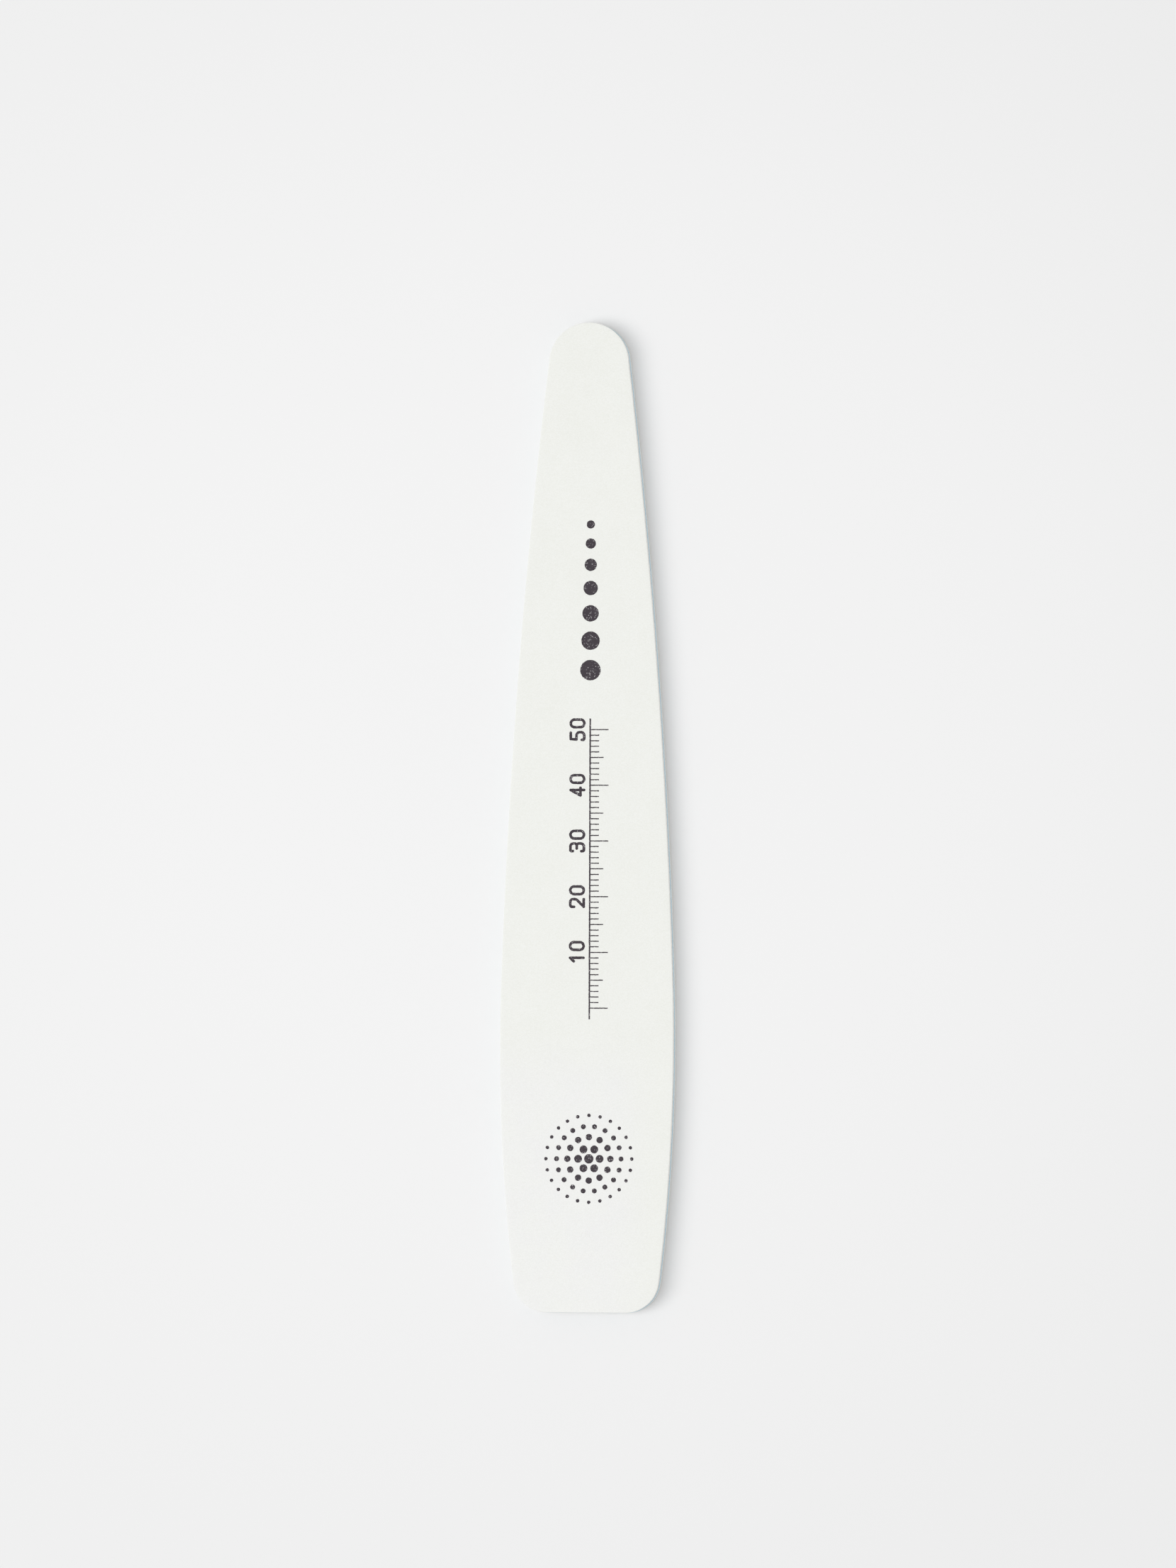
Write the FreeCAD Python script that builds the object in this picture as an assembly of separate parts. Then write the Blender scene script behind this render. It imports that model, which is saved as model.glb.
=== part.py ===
# Cushioned salon nail file: a flat laminated board, die-cut to a tapered outline.
# From the middle out it is a stiff core board, a foam pad on each side of it, and on each
# pad a sheet of backing paper that carries the grit. Thin adhesive films join the layers.
# The upper face carries a printed measuring scale and two patterns of dots.
# The file lies on its lower face. X runs across it, Y along it towards the round tip, and
# Z up. The origin is the centre of the lower face's box. Sizes are in millimetres.
import FreeCAD
import Part

import math
import os

# Die-cut outline, seen from above, with stations measured from the butt end
board_length = 178.0
board_width = 31.5
widest_station = 48.4
butt_draw_in = 2.5
butt_corner_radius = 6.1
tip_radius = 7.25
# The shoulder arc turns through this share of the side's overall slope, and the
# flatter flank arc takes over from there to the tip
shoulder_turn_share = 0.46

# Thickness of each layer, from a face to the middle
grit_thickness = 0.10
paper_thickness = 0.18
face_adhesive_thickness = 0.06
foam_thickness = 1.20
core_adhesive_thickness = 0.06
core_thickness = 0.80

# How far each layer stands back from the die-cut outline. The blade squeezes the foam
# while it cuts, so the foam springs back and its edge is drawn in between its faces.
cut_line_setback = 0.0
grit_setback = 0.06
adhesive_setback = 0.16
foam_setback = 0.05
foam_waist_depth = 0.12

# Ink film on the upper face, centred beside the board's own axis
ink_thickness = 0.02
print_axis_offset = 0.47

# Measuring scale: a rule line with graduations on its right and numbers on its left
rule_start_share = 0.2957
rule_length_share = 0.3034
rule_width = 0.27
rule_overrun = 2.0
graduation = 1.0
graduation_width = 0.19
fine_mark_length = 1.5
middle_mark_length = 2.3
number_mark_length = 3.2
fine_marks_per_middle_mark = 5
fine_marks_per_number = 10

# Numbers of the scale, with their feet beside the rule line
number_gap = 0.7
digit_height = 2.93
digit_width = 1.85
digit_spacing = 0.42
digit_stroke = 0.48
join_tolerance = 0.0001

# Row of dots that shrink towards the tip
dot_row_start_share = 0.6376
dot_row_count = 7
largest_dot = 3.69
smallest_dot_share = 0.4
dot_row_gap_share = 0.484

# Rosette of dots in rings near the butt, smaller from ring to ring
rosette_station_share = 0.1551
rosette_diameter = 16.2
rosette_rings = 4
first_ring_count = 6
rosette_centre_dot_share = 0.86
rosette_rim_dot_share = 0.32

# Centre lines of the digits, as strokes of points. A point is a share of the digit's
# width, a share of its height, and the share of the widest possible rounding that its
# corner gets. A stroke that ends on its first point is a loop.
digit_stroke_shares = {
    "0": [[(0, 0, 1), (1, 0, 1), (1, 1, 1), (0, 1, 1), (0, 0, 1)]],
    "1": [[(0.15, 0.72, 0), (0.62, 1, 0), (0.62, 0, 0)]],
    "2": [[(0, 0.72, 0), (0, 1, 1), (1, 1, 1), (1, 0.56, 0.6), (0, 0, 0), (1, 0, 0)]],
    "3": [[(0, 0.82, 0), (0, 1, 0.9), (1, 1, 0.9), (1, 0.53, 0.9), (0.35, 0.53, 0)],
          [(0.35, 0.53, 0), (1, 0.53, 0.9), (1, 0, 0.9), (0, 0, 0.9), (0, 0.2, 0)]],
    "4": [[(0.72, 0, 0), (0.72, 1, 0), (0, 0.27, 0), (1, 0.27, 0)]],
    "5": [[(0.92, 1, 0), (0.1, 1, 0), (0.04, 0.58, 0)],
          [(0.04, 0.58, 0), (1, 0.58, 0.9), (1, 0, 0.9), (0, 0, 0.9), (0, 0.18, 0)]],
    "6": [[(0, 0, 0.9), (1, 0, 0.9), (1, 0.57, 0.9), (0, 0.57, 0.9), (0, 0, 0.9)],
          [(0, 0.3, 0), (0, 1, 0.9), (0.9, 1, 0)]],
    "7": [[(0, 1, 0), (1, 1, 0), (0.35, 0, 0)]],
    "8": [[(0, 0, 0.9), (1, 0, 0.9), (1, 0.53, 0.9), (0, 0.53, 0.9), (0, 0, 0.9)],
          [(0.06, 0.53, 0.9), (0.94, 0.53, 0.9), (0.94, 1, 0.9), (0.06, 1, 0.9), (0.06, 0.53, 0.9)]],
    "9": [[(0, 0.43, 0.9), (1, 0.43, 0.9), (1, 1, 0.9), (0, 1, 0.9), (0, 0.43, 0.9)],
          [(1, 0.7, 0), (1, 0, 0.9), (0.1, 0, 0)]],
}

# Places along the board, from the butt end to the tip
butt_y = -board_length / 2
tip_y = board_length / 2


def vector(x, y, z):
    """A FreeCAD vector, spelled short."""
    return FreeCAD.Vector(x, y, z)


def side_arcs():
    """Arcs of the right-hand side from the butt to the tip, each tangent to the next.

    Each is (centre x, centre y, radius, start angle, end angle), with the angles turning
    anticlockwise from +X. The tip's arc ends at the board's axis.
    """
    half_width = board_width / 2
    corner_x = half_width - butt_draw_in - butt_corner_radius
    corner_y = butt_y + butt_corner_radius

    # The shoulder arc is level at the widest station and runs tangent into the corner
    rise = widest_station - butt_corner_radius
    reach = butt_draw_in + butt_corner_radius
    shoulder_radius = (reach**2 + rise**2 - butt_corner_radius**2) / (2 * butt_draw_in)
    shoulder_x = half_width - shoulder_radius
    shoulder_y = butt_y + widest_station
    corner_turn = math.atan2(corner_y - shoulder_y, corner_x - shoulder_x)

    # The flank arc is tangent to the shoulder arc where that ends, and to the tip's arc
    tip_centre_y = tip_y - tip_radius
    overall_slope = math.atan2(half_width - tip_radius, tip_centre_y - shoulder_y)
    shoulder_turn = shoulder_turn_share * overall_slope
    across = shoulder_x
    along = shoulder_y - tip_centre_y
    radius_drop = shoulder_radius - tip_radius
    lean = across * math.cos(shoulder_turn) + along * math.sin(shoulder_turn) + radius_drop
    growth = (across**2 + along**2 - radius_drop**2) / (2 * lean)
    flank_radius = shoulder_radius + growth
    flank_x = shoulder_x - growth * math.cos(shoulder_turn)
    flank_y = shoulder_y - growth * math.sin(shoulder_turn)
    tip_turn = math.atan2(tip_centre_y - flank_y, -flank_x)

    return [
        (corner_x, corner_y, butt_corner_radius, -math.pi / 2, corner_turn),
        (shoulder_x, shoulder_y, shoulder_radius, corner_turn, shoulder_turn),
        (flank_x, flank_y, flank_radius, shoulder_turn, tip_turn),
        (0, tip_centre_y, tip_radius, tip_turn, math.pi / 2),
    ]


def arc_edge(centre_x, centre_y, radius, start, end, z):
    """Edge of one arc in the plane at height z."""
    points = []
    for angle in (start, (start + end) / 2, end):
        x = centre_x + radius * math.cos(angle)
        y = centre_y + radius * math.sin(angle)
        points.append(vector(x, y, z))
    return Part.Arc(*points).toShape()


def outline(setback, z):
    """Closed outline of the board at height z, drawn in all round by the setback."""
    right = []
    left = []
    for centre_x, centre_y, radius, start, end in side_arcs():
        inner = radius - setback
        right.append(arc_edge(centre_x, centre_y, inner, start, end, z))
        left.insert(0, arc_edge(-centre_x, centre_y, inner, math.pi - end, math.pi - start, z))
    butt_start = left[-1].lastVertex().Point
    butt_end = right[0].firstVertex().Point
    butt = Part.LineSegment(butt_start, butt_end).toShape()
    return Part.Wire([butt] + right + left)


def sheet(bottom, thickness, setback):
    """Flat layer of the board with a straight cut edge."""
    return Part.Face(outline(setback, bottom)).extrude(vector(0, 0, thickness))


def foam_pad(bottom, thickness, setback):
    """Foam layer whose cut edge is drawn in to a waist halfway up."""
    sections = [
        outline(setback, bottom),
        outline(setback + foam_waist_depth, bottom + thickness / 2),
        outline(setback, bottom + thickness),
    ]
    return Part.makeLoft(sections, True, True)


def lamination():
    """All layers of the board from the lower face up, and the height of the upper face."""
    from_face_to_core = [
        ("grit_coat", sheet, grit_thickness, grit_setback),
        ("backing_paper", sheet, paper_thickness, cut_line_setback),
        ("face_adhesive", sheet, face_adhesive_thickness, adhesive_setback),
        ("foam_pad", foam_pad, foam_thickness, foam_setback),
        ("core_adhesive", sheet, core_adhesive_thickness, adhesive_setback),
    ]
    stack = [("lower_" + name, *layer) for name, *layer in from_face_to_core]
    stack.append(("core_board", sheet, core_thickness, cut_line_setback))
    stack += [("upper_" + name, *layer) for name, *layer in reversed(from_face_to_core)]

    layers = {}
    height = 0
    for name, make, thickness, setback in stack:
        layers[name] = make(height, thickness, setback)
        height += thickness
    return layers, height


def rule_marks(rule_length):
    """Station of each graduation from the rule's start, with the mark's length."""
    count = round((rule_length - 2 * rule_overrun) / graduation)
    marks = []
    for index in range(count + 1):
        length = fine_mark_length
        if index % fine_marks_per_number == 0:
            length = number_mark_length
        elif index % fine_marks_per_middle_mark == 0:
            length = middle_mark_length
        marks.append((rule_overrun + index * graduation, length))
    return marks


def scale_print(height):
    """Ink of the rule line and its graduations, as one comb-shaped film."""
    start_y = butt_y + rule_start_share * board_length
    rule_length = rule_length_share * board_length
    left_x = print_axis_offset - rule_width / 2
    right_x = print_axis_offset + rule_width / 2
    corners = [(left_x, start_y + rule_length), (left_x, start_y), (right_x, start_y)]
    for station, length in rule_marks(rule_length):
        lower_y = start_y + station - graduation_width / 2
        upper_y = lower_y + graduation_width
        corners += [
            (right_x, lower_y),
            (right_x + length, lower_y),
            (right_x + length, upper_y),
            (right_x, upper_y),
        ]
    corners.append((right_x, start_y + rule_length))
    points = [vector(x, y, height) for x, y in corners]
    comb = Part.Face(Part.makePolygon(points + points[:1]))
    return comb.extrude(vector(0, 0, ink_thickness))


def rounded_path(points, roundings, closed):
    """Edges of a stroke's centre line, with an arc at each rounded corner.

    The widest arc at a corner starts halfway along its shorter side. Two arcs that meet
    there have no straight run between them.
    """
    count = len(points)
    starts = list(points)
    ends = list(points)
    edges = []
    corners = range(count) if closed else range(1, count - 1)
    for index in corners:
        corner = points[index]
        to_before = points[index - 1] - corner
        to_after = points[(index + 1) % count] - corner
        tangent = roundings[index] * min(to_before.Length, to_after.Length) / 2
        if tangent == 0:
            continue
        turn = math.pi - to_before.getAngle(to_after)
        radius = tangent / math.tan(turn / 2)
        before = to_before.normalize()
        after = to_after.normalize()
        inside_corner = radius / math.cos(turn / 2) - radius
        middle = corner + (before + after).normalize() * inside_corner
        ends[index] = corner + before * tangent
        starts[index] = corner + after * tangent
        edges.append(Part.Arc(ends[index], middle, starts[index]).toShape())
    for index in range(count if closed else count - 1):
        start = starts[index]
        end = ends[(index + 1) % count]
        if start.distanceToPoint(end) > join_tolerance:
            edges.append(Part.LineSegment(start, end).toShape())
    return edges


def stroke_film(edges):
    """Ink along a centre line, as wide as the digits' stroke and round at its ends."""
    radius = digit_stroke / 2
    up = vector(0, 0, ink_thickness)
    parts = []
    for edge in edges:
        first, last = edge.firstVertex().Point, edge.lastVertex().Point
        if isinstance(edge.Curve, Part.Line):
            side = (last - first).normalize().cross(vector(0, 0, 1)) * radius
            ring = [first + side, last + side, last - side, first - side, first + side]
            parts.append(Part.Face(Part.makePolygon(ring)).extrude(up))
        else:
            centre = edge.Curve.Center
            bend = edge.Curve.Radius
            disc = Part.makeCylinder(bend + radius, ink_thickness, centre)
            if bend > radius:
                disc = disc.cut(Part.makeCylinder(bend - radius, ink_thickness, centre))
            parts.append(disc.common(sector(edge, bend + radius)))
        for end in (first, last):
            parts.append(Part.makeCylinder(radius, ink_thickness, end))
    film = parts[0].fuse(parts[1:])
    return film.removeSplitter()


def sector(edge, reach):
    """Wedge that spans an arc from its centre, wider than the reach."""
    centre = edge.Curve.Center
    first, last = edge.firstVertex().Point, edge.lastVertex().Point
    middle = edge.valueAt((edge.FirstParameter + edge.LastParameter) / 2)
    ring = [centre]
    for point in (first, middle, last):
        ring.append(centre + (point - centre).normalize() * reach * 2)
    ring.append(centre)
    return Part.Face(Part.makePolygon(ring)).extrude(vector(0, 0, ink_thickness))


def digit(character, start_y, height):
    """Ink of one digit that reads along +Y, with its foot beside the rule line."""
    foot_x = print_axis_offset - rule_width / 2 - number_gap - digit_stroke / 2
    left_y = start_y + digit_stroke / 2
    inner_width = digit_width - digit_stroke
    inner_height = digit_height - digit_stroke
    films = []
    for stroke in digit_stroke_shares[character]:
        closed = stroke[0] == stroke[-1]
        kept = stroke[:-1] if closed else stroke
        points = []
        for across_share, up_share, rounding_share in kept:
            x = foot_x - up_share * inner_height
            y = left_y + across_share * inner_width
            points.append(vector(x, y, height))
        roundings = [rounding for across_share, up_share, rounding in kept]
        films.append(stroke_film(rounded_path(points, roundings, closed)))
    if len(films) == 1:
        return films[0]
    return films[0].fuse(films[1:]).removeSplitter()


def scale_numbers(height):
    """Ink of the scale's numbers, each centred on its graduation."""
    start_y = butt_y + rule_start_share * board_length
    marks = rule_marks(rule_length_share * board_length)
    digits = []
    for index in range(fine_marks_per_number, len(marks), fine_marks_per_number):
        characters = str(index)
        width = len(characters) * (digit_width + digit_spacing) - digit_spacing
        digit_y = start_y + marks[index][0] - width / 2
        for character in characters:
            digits.append(digit(character, digit_y, height))
            digit_y += digit_width + digit_spacing
    return Part.makeCompound(digits)


def dot(x, y, diameter, height):
    """Round dot of ink."""
    return Part.makeCylinder(diameter / 2, ink_thickness, vector(x, y, height))


def dot_row(height):
    """Row of dots along the board that shrink evenly towards the tip."""
    gap = dot_row_gap_share * largest_dot
    edge_y = butt_y + dot_row_start_share * board_length
    dots = []
    for index in range(dot_row_count):
        progress = index / (dot_row_count - 1)
        diameter = largest_dot * (1 - progress * (1 - smallest_dot_share))
        dots.append(dot(print_axis_offset, edge_y + diameter / 2, diameter, height))
        edge_y += diameter + gap
    return Part.makeCompound(dots)


def dot_rosette(height):
    """Rings of dots around a centre dot, with the rim dots inside the rosette's circle."""
    ring_pitch = rosette_diameter / (2 * rosette_rings + rosette_rim_dot_share)
    centre_y = butt_y + rosette_station_share * board_length
    dots = []
    for ring in range(rosette_rings + 1):
        progress = ring / rosette_rings
        fade = progress * (rosette_centre_dot_share - rosette_rim_dot_share)
        diameter = ring_pitch * (rosette_centre_dot_share - fade)
        count = max(1, first_ring_count * ring)
        for index in range(count):
            angle = 2 * math.pi * index / count
            x = print_axis_offset + ring * ring_pitch * math.cos(angle)
            y = centre_y + ring * ring_pitch * math.sin(angle)
            dots.append(dot(x, y, diameter, height))
    return Part.makeCompound(dots)


def build():
    """All pieces of the file by name."""
    pieces, upper_face = lamination()
    pieces["scale_print"] = scale_print(upper_face)
    pieces["scale_number_print"] = scale_numbers(upper_face)
    pieces["dot_row_print"] = dot_row(upper_face)
    pieces["dot_rosette_print"] = dot_rosette(upper_face)
    return pieces


os.makedirs("parts", exist_ok=True)
for piece_name, shape in build().items():
    shape.exportStep("parts/" + piece_name + ".step")
    solids = shape.Solids
    volume = sum(solid.Volume for solid in solids)
    print(f"{piece_name}: {len(solids)} solids, {volume:.2f} mm3, valid {shape.isValid()}")
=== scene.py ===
"""Cushioned nail file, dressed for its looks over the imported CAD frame.

The file lies on its lower face on a pale table. X runs across it, Y along it towards the
round tip, and Z up. Lengths in this script are in millimetres, and MM turns them into
Blender's metres. Angles are in degrees, apart from those of the outline's arcs.
"""

import logging
import math
from dataclasses import dataclass, field
from enum import Enum
from functools import partial
from typing import Callable, Sequence

import bpy
import numpy as np
from mathutils import Matrix, Vector, noise
from mathutils.geometry import tessellate_polygon


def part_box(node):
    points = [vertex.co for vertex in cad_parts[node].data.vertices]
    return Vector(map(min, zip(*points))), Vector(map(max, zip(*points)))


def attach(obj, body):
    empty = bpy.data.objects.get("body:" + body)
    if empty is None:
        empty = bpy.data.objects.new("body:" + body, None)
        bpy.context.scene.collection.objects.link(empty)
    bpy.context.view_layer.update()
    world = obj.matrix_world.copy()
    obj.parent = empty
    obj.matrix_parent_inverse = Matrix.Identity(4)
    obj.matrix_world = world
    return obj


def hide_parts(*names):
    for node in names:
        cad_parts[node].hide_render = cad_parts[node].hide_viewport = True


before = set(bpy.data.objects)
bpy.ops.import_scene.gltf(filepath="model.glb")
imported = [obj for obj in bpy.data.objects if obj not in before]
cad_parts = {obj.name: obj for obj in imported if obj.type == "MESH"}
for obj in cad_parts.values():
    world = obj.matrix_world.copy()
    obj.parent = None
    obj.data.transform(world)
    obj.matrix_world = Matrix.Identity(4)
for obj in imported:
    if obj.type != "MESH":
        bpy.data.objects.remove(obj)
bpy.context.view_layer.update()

MM = 0.001
# Heights in millimetres that differ by less count as the same
TOLERANCE = 0.001
# Faces that meet at less than this angle shade as one, where a layer has no angle of its own
CREASE = 40.0
BACKDROP_COLOUR = "#F0F0F0"
# Places of a Mix node's two colours among its inputs
COLOUR_A, COLOUR_B = 6, 7
log = logging.getLogger("nail_file")

Colour = tuple[float, float, float, float]
Place = tuple[float, float]
Loop = list[Place]
Face = tuple[int, ...]
Material = bpy.types.Material
Mesh = bpy.types.Mesh
Node = bpy.types.Node
Piece = bpy.types.Object
Tree = bpy.types.NodeTree
Feeds = dict[str | int, object]
Adder = Callable[..., Node]


class Side(Enum):
    """Half of the board that a layer belongs to."""

    LOWER = "lower"
    UPPER = "upper"


class Neighbour(Enum):
    """Layer that an adhesive film bonds the foam to."""

    FACE = "face"
    CORE = "core"


def linear_colour(hex_colour: str) -> Colour:
    """Turn an sRGB colour into the linear one that Blender's sockets take.

    Args:
        hex_colour: Colour as "#RRGGBB".

    Returns:
        Linear red, green, blue and an alpha of 1.
    """
    channels = []
    for start in (1, 3, 5):
        value = int(hex_colour[start:start + 2], 16) / 255
        channels.append(value / 12.92 if value <= 0.04045 else ((value + 0.055) / 1.055) ** 2.4)
    return channels[0], channels[1], channels[2], 1.0


def add_node(tree: Tree, kind: str, feeds: Feeds | None = None, **settings: object) -> Node:
    """Add one node with its settings, and set or link its inputs.

    Args:
        tree: Node tree that gets the node.
        kind: Blender's name for the kind of node.
        feeds: For each input, by name or place, a plain value, a colour as "#RRGGBB", the
            output that feeds it, or a node whose first working output does.
        settings: The node's own properties by name.

    Returns:
        The new node.
    """
    node = tree.nodes.new(kind)
    for name, value in settings.items():
        setattr(node, name, value)
    for name, value in (feeds or {}).items():
        if isinstance(value, Node):
            value = next(output for output in value.outputs if output.enabled)
        if isinstance(value, bpy.types.NodeSocket):
            tree.links.new(value, node.inputs[name])
        else:
            plain = linear_colour(value) if isinstance(value, str) else value
            node.inputs[name].default_value = plain
    return node


def new_material(name: str) -> tuple[Material, Adder, Node]:
    """Make an empty node material.

    Args:
        name: Name of the real material and how its surface was made.

    Returns:
        The material, what adds nodes to it, and the place in millimetres of each shaded point.
    """
    material = bpy.data.materials.new(name)
    material.use_nodes = True
    material.node_tree.nodes.clear()
    add = partial(add_node, material.node_tree)
    place = add("ShaderNodeTexCoord").outputs["Object"]
    place = add("ShaderNodeVectorMath", {0: place, "Scale": 1 / MM}, operation="SCALE")
    return material, add, place


def finish_material(
    material: Material, colour: Node, roughness: Node | float, relief: Node | None, others: Feeds
) -> Material:
    """Close a material with its shader and output.

    Args:
        material: The material.
        colour: What gives its colour.
        roughness: Its roughness, or what gives it.
        relief: What gives its fine relief, if it has any.
        others: Values of the shader's other inputs.

    Returns:
        The same material, finished.
    """
    feeds = {"Base Color": colour, "Roughness": roughness, **others}
    if relief:
        feeds["Normal"] = relief
    shader = add_node(material.node_tree, "ShaderNodeBsdfPrincipled", feeds)
    add_node(material.node_tree, "ShaderNodeOutputMaterial", {"Surface": shader})
    return material


def background_share(add: Adder, share: Node | float) -> Node:
    """Keep a share for what is seen directly, in a gloss or through glass, and drop it for light.

    Args:
        add: Adds nodes to the tree that gets the share.
        share: Share that a seen background takes.

    Returns:
        The share for seen rays, and 0 for the others.
    """
    rays = add("ShaderNodeLightPath").outputs
    direct_or_gloss = add(
        "ShaderNodeMath", {0: rays["Is Camera Ray"], 1: rays["Is Glossy Ray"]}, operation="ADD"
    )
    seen = add(
        "ShaderNodeMath",
        {0: direct_or_gloss, 1: rays["Is Transmission Ray"]},
        operation="ADD",
        use_clamp=True,
    )
    return add("ShaderNodeMath", {0: seen, 1: share}, operation="MULTIPLY")


def new_mesh(
    name: str, places: Sequence[Sequence[float]], faces: list[Face], crease: float = CREASE
) -> Mesh:
    """Make a mesh that shades smoothly up to an angle.

    Args:
        name: Name of the mesh.
        places: Places of its vertices, in metres.
        faces: Vertices of each face, anticlockwise from outside.
        crease: Angle from which two faces no longer shade as one.

    Returns:
        The mesh.
    """
    mesh = bpy.data.meshes.new(name)
    mesh.from_pydata(places, [], faces)
    mesh.update()
    mesh.shade_smooth()
    mesh.set_sharp_from_angle(angle=math.radians(crease))
    return mesh


def ring_wall(lower: int, upper: int, count: int) -> list[Face]:
    """Quads of the wall between two closed rings of vertices.

    Args:
        lower: First vertex of the lower or outer ring. Both run anticlockwise from above.
        upper: First vertex of the upper or inner ring.
        count: Number of vertices in each.

    Returns:
        The quads, which face outwards, or upwards where the rings lie flat.
    """
    quads = []
    for n in range(count):
        after = (n + 1) % count
        quads.append((lower + n, lower + after, upper + after, upper + n))
    return quads


def new_object(name: str, data: bpy.types.ID) -> Piece:
    """Put a mesh, lamp or camera into the scene.

    Args:
        name: Name of the object.
        data: The mesh, lamp or camera.

    Returns:
        The object.
    """
    added = bpy.data.objects.new(name, data)
    bpy.context.scene.collection.objects.link(added)
    return added


@dataclass(frozen=True)
class AluminiumOxideGrit:
    """White fused aluminium oxide grains, electrocoated into resin with a stearate top coat.

    The eye sees an even, chalky off-white without gloss. Each grain is a white facet, and
    the resin between the grains is a shade warmer and greener. Over the butt end the top
    coat has dried thicker and blooms, which takes the green out of the white there.
    """

    name: str = "white_aluminium_oxide_electrocoated"
    grain_colour: str = "#F2F3EF"
    resin_colour: str = "#ECEDE7"
    # Fine grains are about 0.05 mm wide. They are drawn three times as coarse, because
    # 0.05 mm is far under one pixel of the picture.
    grain_width: float = 0.16
    grain_relief: float = 0.022
    # Most that a grain's tone goes over to the resin's, and how far slow patches shift it
    resin_share: float = 0.75
    patch_width: float = 7.0
    patch_share: float = 0.14
    bloom_share: float = 0.55
    bloom_unevenness: float = 2.0
    # Where the bloom starts and where it is full, along X and Y
    bloom_x: tuple[float, float] = (14.0, 3.0)
    bloom_y: tuple[float, float] = (-36.0, -52.0)
    roughness: float = 0.88

    def bloomed(self, add: Adder, place: Node, patch_tone: Node, colour: Node) -> Node:
        """Take the green out of the grit's colour where the top coat has bloomed.

        Args:
            add: Adds nodes to the material.
            place: Place in millimetres.
            patch_tone: Slow unevenness of the coat.
            colour: Colour of the grit without bloom.

        Returns:
            The colour with the bloom.
        """
        split = add("ShaderNodeSeparateXYZ", {0: place})
        edges = []
        for axis, (start, full) in (("X", self.bloom_x), ("Y", self.bloom_y)):
            edge = add(
                "ShaderNodeMapRange",
                {"Value": split.outputs[axis], "From Min": start, "From Max": full},
                interpolation_type="SMOOTHSTEP",
            )
            edges.append(edge)
        inside = add("ShaderNodeMath", {0: edges[0], 1: edges[1]}, operation="MULTIPLY")
        uneven = add(
            "ShaderNodeMath",
            {0: patch_tone, 1: self.bloom_unevenness, 2: self.bloom_share},
            operation="MULTIPLY_ADD",
        )
        green_lost = add(
            "ShaderNodeMath", {0: inside, 1: uneven}, operation="MULTIPLY", use_clamp=True
        )
        kept = add("ShaderNodeMath", {0: 1.0, 1: green_lost}, operation="SUBTRACT")
        return add("ShaderNodeHueSaturation", {"Saturation": kept, "Color": colour})

    def material(self) -> Material:
        """Build the grit's node material.

        Returns:
            The finished material.
        """
        material, add, place = new_material(self.name)
        grains = add("ShaderNodeTexVoronoi", {"Vector": place, "Scale": 1 / self.grain_width})
        patches = add(
            "ShaderNodeTexNoise",
            {"Vector": place, "Scale": 1 / self.patch_width, "Detail": 4.0, "Roughness": 0.6},
        )
        tone = add("ShaderNodeSeparateColor", {"Color": grains.outputs["Color"]})
        # Grain by grain the resin shows more or less, and slowly so over whole patches too
        patch_tone = add(
            "ShaderNodeMapRange",
            {
                "Value": patches,
                "From Min": 0.3,
                "From Max": 0.7,
                "To Min": -self.patch_share,
                "To Max": self.patch_share,
            },
        )
        mixed_tone = add(
            "ShaderNodeMath",
            {0: tone, 1: self.resin_share, 2: patch_tone},
            operation="MULTIPLY_ADD",
            use_clamp=True,
        )
        colour = add(
            "ShaderNodeMix",
            {"Factor": mixed_tone, COLOUR_A: self.grain_colour, COLOUR_B: self.resin_colour},
            data_type="RGBA",
        )
        bloomed = self.bloomed(add, place, patch_tone, colour)
        relief = add(
            "ShaderNodeBump",
            {"Height": grains, "Strength": 0.5, "Distance": self.grain_relief * MM},
            invert=True,
        )
        gloss = {"Specular IOR Level": 0.35}
        return finish_material(material, bloomed, self.roughness, relief, gloss)


@dataclass(frozen=True)
class LatexBackingPaper:
    """White latex-soaked paper, calendered and die-cut.

    The eye sees a thin off-white line at the cut edge, matte and a little furry, with
    fibres that lie along the sheet.
    """

    name: str = "latex_paper_die_cut"
    colour: str = "#F3F3F0"
    fibre_colour: str = "#E6E5DF"
    # Paper fibres are 0.02 to 0.04 mm thick. They are drawn at 0.09 mm to show at all.
    fibre_width: float = 0.09
    fibre_length: float = 0.7
    fibre_relief: float = 0.02
    roughness: float = 0.92

    def material(self) -> Material:
        """Build the paper's node material.

        Returns:
            The finished material.
        """
        material, add, place = new_material(self.name)
        scale = (1 / self.fibre_length, 1 / self.fibre_length, 1 / self.fibre_width)
        laid = add("ShaderNodeMapping", {"Vector": place, "Scale": scale})
        fibres = add(
            "ShaderNodeTexNoise", {"Vector": laid, "Scale": 1.0, "Detail": 3.0, "Roughness": 0.65}
        )
        colour = add(
            "ShaderNodeMix",
            {"Factor": fibres, COLOUR_A: self.colour, COLOUR_B: self.fibre_colour},
            data_type="RGBA",
        )
        relief = add(
            "ShaderNodeBump",
            {"Height": fibres, "Strength": 0.4, "Distance": self.fibre_relief * MM},
        )
        gloss = {"Specular IOR Level": 0.25}
        return finish_material(material, colour, self.roughness, relief, gloss)


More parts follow.
